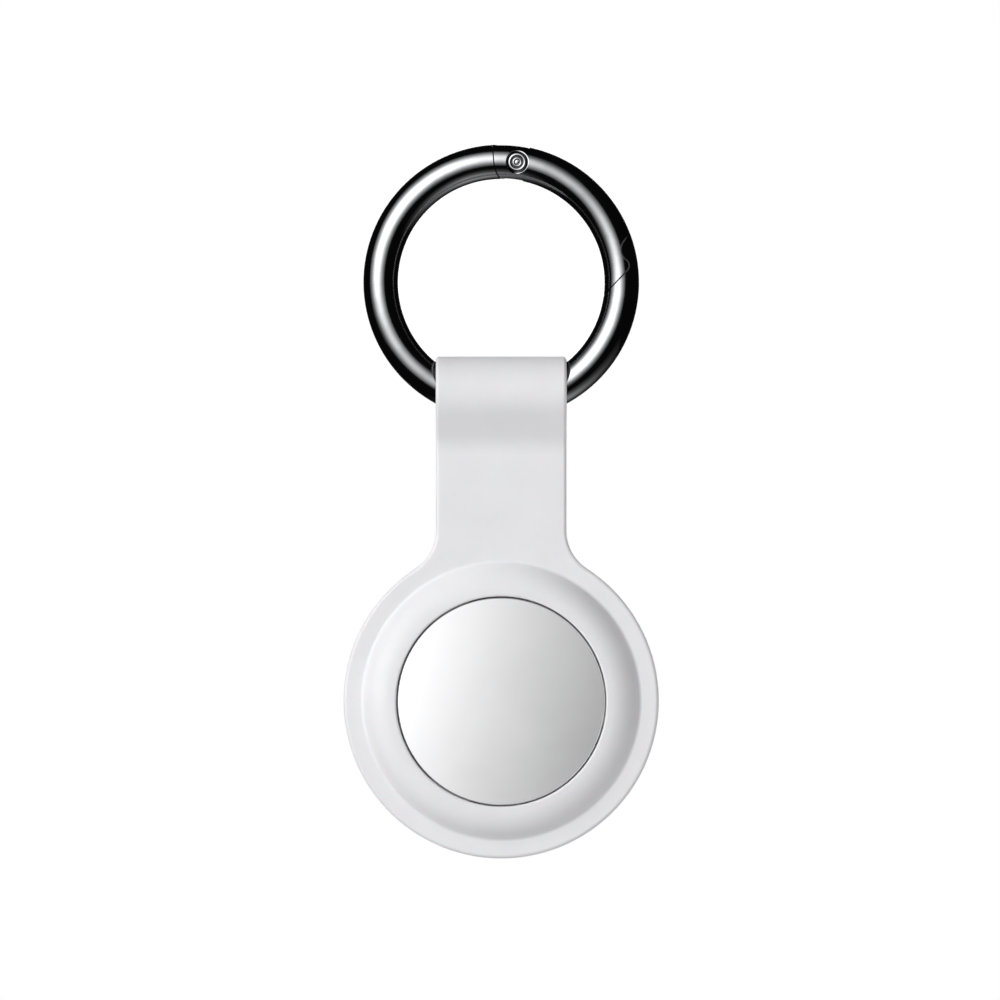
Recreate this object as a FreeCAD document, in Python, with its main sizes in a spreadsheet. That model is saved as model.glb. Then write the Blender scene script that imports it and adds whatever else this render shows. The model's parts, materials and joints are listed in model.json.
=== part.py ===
import FreeCAD, Part
import math
import os
import re
import Sketcher

# Driving sizes in millimetres, angles in degrees, counts and shares
SIZES = {
    # spring gate ring
    "ring_eye_diameter": 25.1,
    "ring_wire_diameter": 4.3,
    "pivot_lean_angle": 7.6,
    "heel_radius": 2.9,
    "heel_sweep_angle": 65,
    "heel_lean_angle": 13,
    "seam_gap": 0.15,
    "lap_reach": 0.4,
    "lap_thickness": 1.0,
    "lap_side_clearance": 0.05,
    "gate_travel_angle": 40,
    "tongue_thickness": 1.6,
    "tongue_eye_radius": 1.2,
    "tongue_root_overlap": 0.8,
    "tongue_height_share": 0.83,
    "tongue_setback": 0.6,
    "cam_offset": 0.7,
    "slot_side_clearance": 0.05,
    "slot_end_clearance": 0.1,
    "latch_angle": 21.36,
    "nose_depth": 0.24,
    "nose_radius": 1.5,
    "nose_exit_angle": 153.6,
    "bulge_radius": 0.92,
    "bulge_angle": 242,
    "ramp_angle": 234.5,
    "cut_overrun": 1.6,
    # pivot rivet
    "rivet_shaft_diameter": 1.2,
    "rivet_running_clearance": 0.04,
    "rivet_seat_clearance": 0.02,
    "rivet_head_diameter": 2.36,
    "rivet_plate_height": 0.35,
    "rivet_dot_rise": 0.12,
    "rivet_pocket_gap": 0.03,
    "rivet_pocket_depth": 0.75,
    "rivet_pocket_draft_angle": 4,
    "rivet_pocket_round": 0.15,
    "rivet_dot_share": 0.21,
    "rivet_dot_flat_share": 0.2,
    "rivet_boss_inner_share": 0.24,
    "rivet_boss_outer_share": 0.54,
    "rivet_rim_share": 0.56,
    "rivet_bead_share": 1.08,
    # spring and plunger in the gate
    "plunger_diameter": 1.5,
    "plunger_clearance": 0.05,
    "plunger_contact_gap": 0.02,
    "plunger_head_length": 1.3,
    "plunger_pilot_gap": 0.15,
    "plunger_pilot_length": 1.2,
    "plunger_bore_depth": 6.7,
    "spring_side_gap": 0.1,
    "spring_wire_diameter": 0.2,
    "spring_turn_count": 8,
    # silicone holder
    "strap_width": 15.9,
    "strap_thickness": 3.0,
    "loop_to_tag": 37.4,
    "loop_wall": 1.1,
    "loop_lip_wall": 0.5,
    "loop_taper_angle": 32,
    "loop_fillet_radius": 4.0,
    "tunnel_diameter": 6.8,
    "tunnel_clearance": 0.15,
    "tunnel_flare_length": 1.2,
    "flange_width": 2.2,
    "neck_radius": 5.5,
    "edge_radius": 0.45,
    "opening_diameter": 25.6,
    "lip_radius": 0.12,
    "lip_land_width": 0.2,
    "dome_radius": 3.88,
    "lip_rise": 0.3,
    "lip_reveal": 0.05,
    "crease_radius": 0.4,
    "pocket_clearance": 0.05,
    # tag shell
    "rim_width": 1.25,
    "tag_back_radius": 2.9,
    "tag_back_level": 0.4,
    "tag_front_radius": 1.95,
    "tag_wall": 1.05,
    "crown_flat_diameter": 0.5,
    "tray_clearance": 0.05,
    # battery cover and its bayonet
    "cover_height": 4.0,
    "cover_proud": 0.6,
    "cover_crown": 0.3,
    "cover_sheet": 0.4,
    "cover_edge_radius": 0.12,
    "cover_skirt_depth": 1.05,
    "cover_clearance": 0.15,
    "bayonet_bond_gap": 0.03,
    "bayonet_wall": 0.75,
    "bayonet_plate_lap": 0.6,
    "tab_clearance": 0.25,
    "tab_height": 0.5,
    "tab_sweep_angle": 22,
    "catch_reach": 0.85,
    "catch_height": 0.5,
    "catch_gap": 0.1,
    "catch_top_gap": 0.15,
    "catch_side_gap": 0.4,
    "catch_sweep_angle": 24,
    "catch_count": 3,
    # cell, tray and seal
    "cell_edge_radius": 0.3,
    "cell_wall": 0.25,
    "gasket_width": 0.6,
    "gasket_clearance": 0.02,
    "crimp_drop": 0.3,
    "crimp_reach": 0.3,
    "pad_thickness": 0.4,
    "pad_inset": 1.0,
    "pad_bond_gap": 0.02,
    "well_gap": 0.2,
    "well_wall": 0.5,
    "tray_floor": 0.5,
    "channel_clearance": 0.3,
    "seal_height": 0.5,
    "seal_inset": 0.05,
    "leaf_length": 9.2,
    "leaf_width": 3.0,
    "leaf_thickness": 0.15,
    "leaf_rise": 0.4,
    "leaf_crest_share": 0.25,
    "leaf_foot_share": 0.55,
    "side_contact_thickness": 0.14,
    "side_contact_height": 2.4,
    "side_contact_sweep_angle": 20,
    "side_contact_count": 2,
    # board and sounder
    "board_edge_gap": 0.25,
    "board_hole_gap": 0.5,
    "board_thickness": 0.6,
    "chip_inset": 0.2,
    "chip_side": 2.4,
    "chip_height": 0.5,
    "magnet_height": 1.4,
    "magnet_gap": 0.65,
    "coil_outer_diameter": 10.2,
    "coil_wall": 0.8,
    "coil_gap": 0.3,
    "coil_height": 1.2,
    "coil_bond_gap": 0.02,
}

# Two radii count as the same when they differ by less than this share
MATCH_SHARE = 0.00001

# Faces that turn by more than this many degrees at an edge make a real corner
CORNER_ANGLE = 30

# Chips on the board: turn round the board in degrees, length and width as shares of chip_side
CHIP_ANGLES_AND_SHARES = {
    "radio_chip": (0, 1.0, 1.0),
    "antenna_chip": (75, 0.8, 0.9),
    "memory_chip": (150, 0.7, 0.5),
    "motion_chip": (215, 0.6, 0.6),
    "sounder_chip": (290, 0.9, 0.6),
}

doc = FreeCAD.newDocument("tag_holder")
sheet = doc.addObject("Spreadsheet::Sheet", "Sizes")
for row, (alias, number) in enumerate(SIZES.items(), start=1):
    sheet.set(f"A{row}", alias)
    sheet.set(f"B{row}", str(number))
    sheet.setAlias(f"B{row}", alias)
doc.recompute()


def cells(text):
    """Expression text with each size's name turned into its cell on the sheet."""
    return re.sub(r"[a-z_]+", lambda word: "Sizes." + word[0] if word[0] in SIZES else word[0], text)


def bind(item, place, text):
    item.setExpression(place, cells(text))


def worth(item, text):
    """Number that an expression comes to now."""
    return float(item.evalExpression(cells(text)))


def turned(radius, angle):
    """Expression pair for a step of this length in this direction."""
    return f"({radius}) * cos({angle})", f"({radius}) * sin({angle})"


def plus(*steps):
    """Expression pair for the sum of several steps."""
    return " + ".join(f"({step[0]})" for step in steps), " + ".join(f"({step[1]})" for step in steps)


# Sizes worked out from the driving ones
EYE_RADIUS = "(ring_eye_diameter / 2)"
WIRE_RADIUS = "(ring_wire_diameter / 2)"
RING_RADIUS = f"({EYE_RADIUS} + {WIRE_RADIUS})"
RING_OUTER = f"({EYE_RADIUS} + ring_wire_diameter)"
RING_CLEAR = f"({RING_OUTER} + cut_overrun)"
CAM_RADIUS = "(tongue_eye_radius + cam_offset)"
PLUNGER_DROP = "(cam_offset * cos(gate_travel_angle / 2))"
PLUNGER_FACE = f"({CAM_RADIUS} - cam_offset * sin(gate_travel_angle / 2) + plunger_contact_gap)"
PLUNGER_BACK = f"({PLUNGER_FACE} + plunger_head_length)"
TONGUE_REACH = (f"sqrt(cam_offset ^ 2 + {CAM_RADIUS} ^ 2"
                f" + 2 * cam_offset * {CAM_RADIUS} * sin(gate_travel_angle / 2))")
BORE_RADIUS = "(plunger_diameter / 2 + plunger_clearance)"
SPRING_RADIUS = f"({BORE_RADIUS} - spring_side_gap)"
PILOT_RADIUS = f"({SPRING_RADIUS} - spring_wire_diameter - plunger_pilot_gap)"
POCKET_FLOOR = f"({WIRE_RADIUS} - rivet_pocket_depth)"
HALF_STRAP = "(strap_width / 2)"
HALF_THICK = "(strap_thickness / 2)"
TUNNEL_RADIUS = "(tunnel_diameter / 2)"
LOOP_DROP = f"({RING_OUTER} - {TUNNEL_RADIUS} + tunnel_clearance)"
TAG_DROP = f"({LOOP_DROP} + loop_to_tag)"
MOUTH_RADIUS = (f"max({TUNNEL_RADIUS}; {LOOP_DROP} + tunnel_clearance"
                f" - sqrt({EYE_RADIUS} ^ 2 - {HALF_STRAP} ^ 2))")
LOOP_RADIUS = f"max({TUNNEL_RADIUS} + loop_wall; {MOUTH_RADIUS} + loop_lip_wall)"

# The opening sets the holder's dome and flange outside it, and the tag inside it
OPENING_RADIUS = "(opening_diameter / 2)"
CROWN_FLAT = "(crown_flat_diameter / 2)"
DOME_CENTRE = f"({OPENING_RADIUS} + lip_radius + lip_land_width)"
DOME_OUTER = f"({DOME_CENTRE} + dome_radius)"
FLANGE_RADIUS = f"({DOME_OUTER} + flange_width)"
SEAT_RADIUS = f"({OPENING_RADIUS} - lip_reveal)"
FRONT_CENTRE = f"({SEAT_RADIUS} + rim_width)"
TAG_RADIUS = f"({FRONT_CENTRE} + tag_front_radius)"
BACK_CENTRE = f"({TAG_RADIUS} - tag_back_radius)"
CAVITY_RADIUS = f"({TAG_RADIUS} - tag_wall)"
TRAY_RADIUS = f"({CAVITY_RADIUS} - tray_clearance)"
COVER_RADIUS = f"({SEAT_RADIUS} - cover_clearance)"
COVER_FLAT = f"({COVER_RADIUS} - cover_edge_radius)"
COVER_INSIDE = f"({COVER_RADIUS} - cover_sheet)"
COVER_SPHERE = f"(({COVER_FLAT} ^ 2 + cover_crown ^ 2) / (2 * cover_crown))"
TAB_OUTER = f"({SEAT_RADIUS} - tab_clearance)"
CATCH_INNER = f"({SEAT_RADIUS} - catch_reach)"
BAYONET_OUTER = f"({CATCH_INNER} - catch_side_gap)"
BAYONET_INNER = f"({BAYONET_OUTER} - bayonet_wall)"
WELL_OUTER = f"({BAYONET_INNER} - tray_clearance)"
WELL_RADIUS = f"({WELL_OUTER} - well_wall)"
CELL_RADIUS = f"({WELL_RADIUS} - well_gap)"
CAN_INSIDE = f"({CELL_RADIUS} - cell_wall)"
CAP_RADIUS = f"({CAN_INSIDE} - gasket_width)"
PAD_RADIUS = f"({CELL_RADIUS} - pad_inset)"
BOARD_RADIUS = f"({BACK_CENTRE} - board_edge_gap)"

# The coil sets the magnet inside it and the hole in the board round it
COIL_RADIUS = "(coil_outer_diameter / 2)"
COIL_INNER = f"({COIL_RADIUS} - coil_wall)"
MAGNET_RADIUS = f"({COIL_INNER} - coil_gap)"
HOLE_RADIUS = f"({COIL_RADIUS} + board_hole_gap)"
CHIP_RADIUS = f"({HOLE_RADIUS} + chip_inset + chip_side / 2)"

# Depths in front of the cell's back face, set by the cover, then depths behind it
DOME_RISE = "(cover_height + lip_rise)"
DOME_LEVEL = f"({DOME_RISE} - dome_radius)"
FRONT_HEIGHT = "(cover_height - cover_proud)"
FRONT_LEVEL = f"({FRONT_HEIGHT} - tag_front_radius)"
COVER_EDGE = "(cover_height - cover_crown)"
SKIRT_LEVEL = "(cover_height - cover_skirt_depth)"
CELL_HEIGHT = "(cover_height - cover_sheet - pad_thickness)"
WELL_TOP = f"({SKIRT_LEVEL} - seal_height)"
CATCH_FRONT = f"({SKIRT_LEVEL} - catch_top_gap)"
CATCH_UNDER = f"({CATCH_FRONT} - catch_height)"
TAB_FRONT = f"({CATCH_UNDER} - catch_gap)"
BAYONET_END = f"({TAB_FRONT} - tab_height)"
CHANNEL_LEVEL = f"({BAYONET_END} - channel_clearance)"
FLOOR_TOP = "leaf_rise"
FLOOR_UNDER = f"({FLOOR_TOP} + tray_floor)"
BOARD_BACK = f"({FLOOR_UNDER} + board_thickness)"
MAGNET_BACK = f"({FLOOR_UNDER} + magnet_height)"
BACK_HEIGHT = f"({MAGNET_BACK} + magnet_gap + tag_wall)"
BACK_RISE = f"({BACK_HEIGHT} + tag_back_level)"
CROWN_RADIUS = (f"(({BACK_CENTRE} ^ 2 + {BACK_RISE} ^ 2 - tag_back_radius ^ 2)"
                f" / (2 * ({BACK_RISE} - tag_back_radius)))")
CROWN_LEVEL = f"({BACK_HEIGHT} - {CROWN_RADIUS})"
CROWN_ANGLE = f"acos({BACK_CENTRE} / ({CROWN_RADIUS} - tag_back_radius))"
CEILING_RADIUS = f"({CROWN_RADIUS} - tag_wall)"


def dome_height(radius, sphere, level):
    """Height at this radius of a sphere on the axis, centred at this level."""
    return f"({level} + sqrt(({sphere}) ^ 2 - ({radius}) ^ 2))"


def new_body(label):
    body = doc.addObject("PartDesign::Body", label)
    body.Label = label
    return body


def new_sketch(body, name, role, lift="0"):
    """Sketch on one of the body's own planes, lifted along the plane's normal."""
    sketch = body.newObject("Sketcher::SketchObject", name)
    plane = next(item for item in body.Origin.OriginFeatures if item.Role == role)
    sketch.AttachmentSupport = [(plane, "")]
    sketch.MapMode = "FlatFace"
    if lift != "0":
        bind(sketch, "AttachmentOffset.Base.z", lift)
    doc.recompute()
    return sketch


def fix_number(sketch, kind, geometry, text, place=None):
    """Adds one size to the sketch and binds it to the sheet."""
    number = worth(sketch, text)
    if place is None:
        index = sketch.addConstraint(Sketcher.Constraint(kind, geometry, number))
    else:
        index = sketch.addConstraint(Sketcher.Constraint(kind, -1, 1, geometry, place, number))
    if text != "0":
        bind(sketch, f"Constraints[{index}]", text)


def draw_circle(sketch, centre, radius):
    spot = [worth(sketch, text) for text in centre]
    circle = Part.Circle(FreeCAD.Vector(*spot), FreeCAD.Vector(0, 0, 1), worth(sketch, radius))
    geometry = sketch.addGeometry(circle)
    fix_number(sketch, "DistanceX", geometry, centre[0], 3)
    fix_number(sketch, "DistanceY", geometry, centre[1], 3)
    fix_number(sketch, "Radius", geometry, radius)


def draw_outline(sketch, corners, bends=None):
    """Closed outline through the corners. A bend makes the side after its corner an arc under half a
    turn, of the given radius, with its centre on the left or right of the way the outline runs."""
    bends = bends or {}
    spots = [FreeCAD.Vector(*[worth(sketch, text) for text in corner]) for corner in corners]
    ends = []
    for index, start in enumerate(spots):
        finish = spots[(index + 1) % len(spots)]
        if index not in bends:
            geometry = sketch.addGeometry(Part.LineSegment(start, finish))
            ends.append((geometry, 1, 2))
            continue
        radius, side = bends[index]
        size = worth(sketch, radius)
        chord = finish - start
        sideways = FreeCAD.Vector(-chord.y, chord.x).normalize()
        reach = math.sqrt(max(size ** 2 - (chord.Length / 2) ** 2, 0))
        centre = (start + finish) / 2 + sideways * (reach if side == "left" else -reach)
        first, last = (start, finish) if side == "left" else (finish, start)
        circle = Part.Circle(centre, FreeCAD.Vector(0, 0, 1), size)
        first_angle = math.atan2(first.y - centre.y, first.x - centre.x)
        last_angle = math.atan2(last.y - centre.y, last.x - centre.x)
        if last_angle < first_angle:
            last_angle += math.tau
        geometry = sketch.addGeometry(Part.ArcOfCircle(circle, first_angle, last_angle))
        ends.append((geometry, 1, 2) if side == "left" else (geometry, 2, 1))
    for index, (geometry, _, last) in enumerate(ends):
        following, first, _ = ends[(index + 1) % len(ends)]
        sketch.addConstraint(Sketcher.Constraint("Coincident", geometry, last, following, first))
    for (geometry, first, _), corner in zip(ends, corners):
        fix_number(sketch, "DistanceX", geometry, corner[0], first)
        fix_number(sketch, "DistanceY", geometry, corner[1], first)
    for index, (radius, _) in bends.items():
        fix_number(sketch, "Radius", ends[index][0], radius)


def extrude(body, kind, sketch, length, name, both_ways=True, flipped=False):
    """Pad or Pocket of a sketch, bound to a length on the sheet."""
    feature = body.newObject(f"PartDesign::{kind}", name)
    feature.Profile = sketch
    feature.SideType = "Symmetric" if both_ways else "One side"
    feature.Reversed = flipped
    bind(feature, "Length", length)
    sketch.Visibility = False
    doc.recompute()
    return feature


def turn(body, kind, sketch, name, axis="V_Axis", sweep=None):
    """Revolution or Groove about one of the sketch's own axes."""
    feature = body.newObject(f"PartDesign::{kind}", name)
    feature.Profile = sketch
    feature.ReferenceAxis = (sketch, [axis])
    feature.Angle = 360
    if sweep:
        feature.Midplane = True
        bind(feature, "Angle", sweep)
    doc.recompute()
    return feature


def pattern(body, feature, sketch, count, name):
    """Copies of a feature round the sketch's upright axis."""
    copies = body.newObject("PartDesign::PolarPattern", name)
    copies.Originals = [feature]
    copies.Axis = (sketch, ["V_Axis"])
    copies.Angle = 360
    bind(copies, "Occurrences", count)
    body.Tip = copies
    doc.recompute()
    return copies


def turned_piece(label, corners, bends=None):
    """Body turned from one half outline of radius and depth."""
    body = new_body(label)
    sketch = new_sketch(body, f"{label}_outline", "XY_Plane")
    draw_outline(sketch, corners, bends)
    turn(body, "Revolution", sketch, f"{label}_turned")
    return body


def sharp_edges(shape):
    """Names of the edges where two faces meet at a real corner."""
    names = []
    for number, edge in enumerate(shape.Edges, start=1):
        middle = edge.valueAt((edge.FirstParameter + edge.LastParameter) / 2)
        faces = shape.ancestorsOfType(edge, Part.Face)
        normals = [face.normalAt(*face.Surface.parameter(middle)) for face in faces]
        if len(normals) == 2 and abs(normals[0].dot(normals[1])) < math.cos(math.radians(CORNER_ANGLE)):
            names.append(f"Edge{number}")
    return names


def meets(shape, name, *surfaces):
    """Whether the edge lies between faces of these two kinds."""
    faces = shape.ancestorsOfType(shape.getElement(name), Part.Face)
    return all(any(isinstance(face.Surface, kind) for face in faces) for kind in surfaces)


def round_edges(body, feature, names, radius, name):
    fillet = body.newObject("PartDesign::Fillet", name)
    fillet.Base = (feature, names)
    bind(fillet, "Radius", radius)
    doc.recompute()
    return fillet


def ring_place(item):
    """Turns a piece of the ring, drawn with its pivot at the top, to the pivot's lean."""
    item.Placement = FreeCAD.Placement(FreeCAD.Vector(), FreeCAD.Rotation(FreeCAD.Vector(0, 1, 0), 1))
    bind(item, "Placement.Rotation.Angle", "pivot_lean_angle")


def tag_place(item):
    """Hangs a piece, drawn about the tag's centre, below the ring."""
    bind(item, "Placement.Base.z", f"-{TAG_DROP}")


# Spring gate ring, drawn with the ring's centre at the origin and the pivot at the top
def latch_seam(gap):
    """Corners and bends of the seam at the latch, from outside the ring to inside, then at the heel
    from inside to outside. The gap moves it towards the gate."""
    nose = turned(f"{RING_OUTER} - nose_depth", "latch_angle")
    bulge = plus(nose, turned("nose_radius + bulge_radius", "bulge_angle"))
    nose_exit = plus(nose, turned(f"nose_radius + {gap}", "nose_exit_angle"))
    mouth = plus(nose_exit, turned("ring_wire_diameter / 2 + nose_depth", "nose_exit_angle - 90"))
    turn_over = plus(nose, turned(f"nose_radius + {gap}", "bulge_angle"))
    ramp_top = plus(bulge, turned(f"bulge_radius - {gap}", "ramp_angle + 90"))
    ramp_end = plus(ramp_top, turned("ring_wire_diameter + cut_overrun", "ramp_angle"))
    heel = f"(heel_radius - {gap})"
    heel_inside = plus(("0", RING_RADIUS), turned(heel, "180 + heel_sweep_angle"))
    heel_middle = plus(("0", RING_RADIUS), turned(heel, "180 + heel_lean_angle"))
    heel_rise = f"({RING_CLEAR} - ({heel_middle[1]}))"
    heel_outside = (f"{heel_middle[0]} - {heel_rise} * tan(heel_lean_angle)", RING_CLEAR)
    corners = [mouth, nose_exit, turn_over, ramp_top, ramp_end, heel_inside, heel_middle, heel_outside]
    bends = {1: (f"nose_radius + {gap}", "left"), 2: (f"bulge_radius - {gap}", "right"), 5: (heel, "right")}
    return corners, bends


def ring_torus(label):
    body = new_body(label)
    wire = new_sketch(body, f"{label}_wire", "XY_Plane")
    draw_circle(wire, (RING_RADIUS, "0"), WIRE_RADIUS)
    turn(body, "Revolution", wire, f"{label}_bent")
    return body


def make_ring_frame():
    body = ring_torus("ring_frame")
    # opening for the gate, cut back further at the front and back to leave a lap in the middle
    for name, reach, lift, flipped in (
        ("gate_gap", "lap_reach", "0", False),
        ("front_seam", "0", "lap_thickness / 2", True),
        ("back_seam", "0", "-lap_thickness / 2", False),
    ):
        corners, bends = latch_seam(reach)
        outline = new_sketch(body, name, "XZ_Plane", lift)
        draw_outline(outline, corners + [(RING_CLEAR, RING_CLEAR), (RING_CLEAR, corners[0][1])], bends)
        extrude(body, "Pocket", outline, "2 * ring_wire_diameter", f"{name}_cut", lift == "0", flipped)

    # flat tongue between the gate's cheeks, its end a round cam that is off centre from the pivot
    root = "-(heel_radius + tongue_root_overlap)"
    cam_centre = plus(("0", RING_RADIUS), turned("cam_offset", "-90 - gate_travel_angle / 2"))
    cam_end = plus(cam_centre, turned(CAM_RADIUS, "-gate_travel_angle"))
    cam_start = plus(("0", RING_RADIUS), turned("tongue_eye_radius", "90 - gate_travel_angle / 2"))
    top = f"{RING_RADIUS} + {WIRE_RADIUS} * tongue_height_share"
    tongue = new_sketch(body, "tongue", "XZ_Plane")
    draw_outline(
        tongue,
        [(root, top), ("-tongue_setback", top), cam_start, cam_end, (root, cam_end[1])],
        {2: (CAM_RADIUS, "right")},
    )
    extrude(body, "Pad", tongue, "tongue_thickness", "tongue_plate")
    hole = new_sketch(body, "tongue_eye", "XZ_Plane")
    draw_circle(hole, ("0", RING_RADIUS), "rivet_shaft_diameter / 2 + rivet_seat_clearance")
    extrude(body, "Pocket", hole, "2 * tongue_thickness", "tongue_eye_hole")
    ring_place(body)
    return body


def make_gate_arm():
    body = ring_torus("gate_arm")
    # cut back to the seam, and further in the middle to make a groove for the frame's lap
    away = f"-{RING_CLEAR}"
    for name, reach, depth in (
        ("frame_side", "seam_gap", "2 * ring_wire_diameter"),
        ("lap_groove", "(lap_reach + seam_gap)", "lap_thickness + 2 * lap_side_clearance"),
    ):
        corners, bends = latch_seam(reach)
        rest = [(away, RING_CLEAR), (away, away), (RING_CLEAR, away), (RING_CLEAR, corners[0][1])]
        outline = new_sketch(body, name, "XZ_Plane")
        draw_outline(outline, corners + rest, bends)
        extrude(body, "Pocket", outline, depth, f"{name}_cut")

    # slot for the tongue, which leaves a cheek at the front and one behind
    slot_radius = f"({TONGUE_REACH} + slot_end_clearance)"
    far = "-(heel_radius + cut_overrun)"
    high = f"{RING_RADIUS} + ring_wire_diameter"
    low = f"{RING_RADIUS} - ring_wire_diameter"
    slot = new_sketch(body, "slot", "XZ_Plane")
    draw_outline(
        slot,
        [(far, high), ("0", high), ("0", f"{RING_RADIUS} + {slot_radius}"), (slot_radius, RING_RADIUS),
         ("0", f"{RING_RADIUS} - {slot_radius}"), ("0", low), (far, low)],
        {2: (slot_radius, "right"), 3: (slot_radius, "right")},
    )
    extrude(body, "Pocket", slot, "tongue_thickness + 2 * slot_side_clearance", "slot_cut")

    # bore for the plunger and its spring, drilled from the slot along the gate
    bore = new_sketch(body, "bore", "YZ_Plane")
    draw_circle(bore, ("0", f"{RING_RADIUS} - {PLUNGER_DROP}"), BORE_RADIUS)
    extrude(body, "Pocket", bore, "plunger_bore_depth", "bore_cut", both_ways=False, flipped=True)

    # rivet hole with a round pocket for each head, its wall drafted
    shaft = "rivet_shaft_diameter / 2 + rivet_running_clearance"
    pocket = "(rivet_head_diameter / 2 + rivet_pocket_gap)"
    beyond = f"({WIRE_RADIUS} + cut_overrun)"
    pocket_mouth = f"{pocket} + ({beyond} - {POCKET_FLOOR}) * tan(rivet_pocket_draft_angle)"
    eye = new_sketch(body, "rivet_eye", "XY_Plane", RING_RADIUS)
    draw_outline(
        eye,
        [("0", f"-{beyond}"), (pocket_mouth, f"-{beyond}"), (pocket, f"-{POCKET_FLOOR}"),
         (shaft, f"-{POCKET_FLOOR}"), (shaft, POCKET_FLOOR), (pocket, POCKET_FLOOR),
         (pocket_mouth, beyond), ("0", beyond)],
    )
    cut = turn(body, "Groove", eye, "rivet_eye_cut")
    rims = [name for name in sharp_edges(cut.Shape) if meets(cut.Shape, name, Part.Toroid, Part.Cone)]
    round_edges(body, cut, rims, "rivet_pocket_round", "pocket_rounds")
    ring_place(body)
    return body


def make_pivot_rivet():
    """Rivet with two turned heads, each with a round rim, a round ring inside it and a centre dot."""
    head = "(rivet_head_diameter / 2)"
    under = f"({POCKET_FLOOR} + rivet_seat_clearance)"
    floor = f"({under} + rivet_plate_height)"
    dot = f"({head} * rivet_dot_share)"
    boss = [f"{head} * rivet_boss_inner_share", f"{head} * rivet_boss_outer_share"]
    rim = [f"{head} * rivet_rim_share", head]
    dot_sphere = f"({dot} ^ 2 + rivet_dot_rise ^ 2) / (2 * rivet_dot_rise)"
    boss_bead = f"({boss[1]} - {boss[0]}) / 2 * rivet_bead_share"
    rim_bead = f"({rim[1]} - {rim[0]}) / 2 * rivet_bead_share"
    top = f"{floor} + rivet_dot_rise"
    half = [("0", top), (f"{dot} * rivet_dot_flat_share", top), (dot, floor), (boss[0], floor),
            (boss[1], floor), (rim[0], floor), (rim[1], floor), (head, under),
            ("rivet_shaft_diameter / 2", under)]
    front = [(radius, f"-({depth})") for radius, depth in half]
    beads = {1: dot_sphere, 3: boss_bead, 5: rim_bead, 11: rim_bead, 13: boss_bead, 15: dot_sphere}
    body = new_body("pivot_rivet")
    sketch = new_sketch(body, "rivet_outline", "XY_Plane", RING_RADIUS)
    draw_outline(sketch, front + half[::-1], {index: (radius, "left") for index, radius in beads.items()})
    turn(body, "Revolution", sketch, "rivet_turned")
    ring_place(body)
    return body


def make_spring_plunger():
    body = new_body("spring_plunger")
    axis = f"{RING_RADIUS} - {PLUNGER_DROP}"
    head = new_sketch(body, "plunger_head", "YZ_Plane", PLUNGER_FACE)
    draw_circle(head, ("0", axis), "plunger_diameter / 2")
    extrude(body, "Pad", head, "plunger_head_length", "plunger_head_pad", both_ways=False)
    pilot = new_sketch(body, "plunger_pilot", "YZ_Plane", PLUNGER_FACE)
    draw_circle(pilot, ("0", axis), PILOT_RADIUS)
    extrude(body, "Pad", pilot, "plunger_head_length + plunger_pilot_length", "plunger_pilot_pad",
            both_ways=False)
    ring_place(body)
    return body


def make_gate_spring():
    """Compression spring wound round the plunger's pilot, between its head and the bore's end."""
    body = new_body("gate_spring")
    room = f"(plunger_bore_depth - {PLUNGER_BACK} - 2 * plunger_contact_gap)"
    coil = f"({SPRING_RADIUS} - spring_wire_diameter / 2)"
    axis = f"({RING_RADIUS} - {PLUNGER_DROP})"
    start = f"{PLUNGER_BACK} + plunger_contact_gap + spring_wire_diameter / 2"
    section = new_sketch(body, "spring_section", "XZ_Plane")
    bind(section, "AttachmentOffset.Base.y", axis)
    draw_circle(section, (start, coil), "spring_wire_diameter / 2")
    helix = body.newObject("PartDesign::AdditiveHelix", "spring_wound")
    helix.Profile = section
    helix.ReferenceAxis = (section, ["H_Axis"])
    helix.Mode = "height-turns-angle"
    bind(helix, "Height", f"{room} - spring_wire_diameter")
    bind(helix, "Turns", "spring_turn_count")
    doc.recompute()
    ring_place(body)
    return body


# Silicone holder, drawn about the tag's centre
def tag_side(gap):
    """Corners and bends of the tag's side, from its front face to the edge of its back crown, moved out
    by the gap."""
    crown_edge = plus(("0", CROWN_LEVEL), turned(f"{CROWN_RADIUS} + {gap}", CROWN_ANGLE))
    side = f"{TAG_RADIUS} + {gap}"
    corners = [(FRONT_CENTRE, f"-({FRONT_HEIGHT} + {gap})"), (side, f"-{FRONT_LEVEL}"),
               (side, "-tag_back_level"), crown_edge]
    bends = {0: (f"tag_front_radius + {gap}", "left"), 2: (f"tag_back_radius + {gap}", "left")}
    return corners, bends


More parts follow.
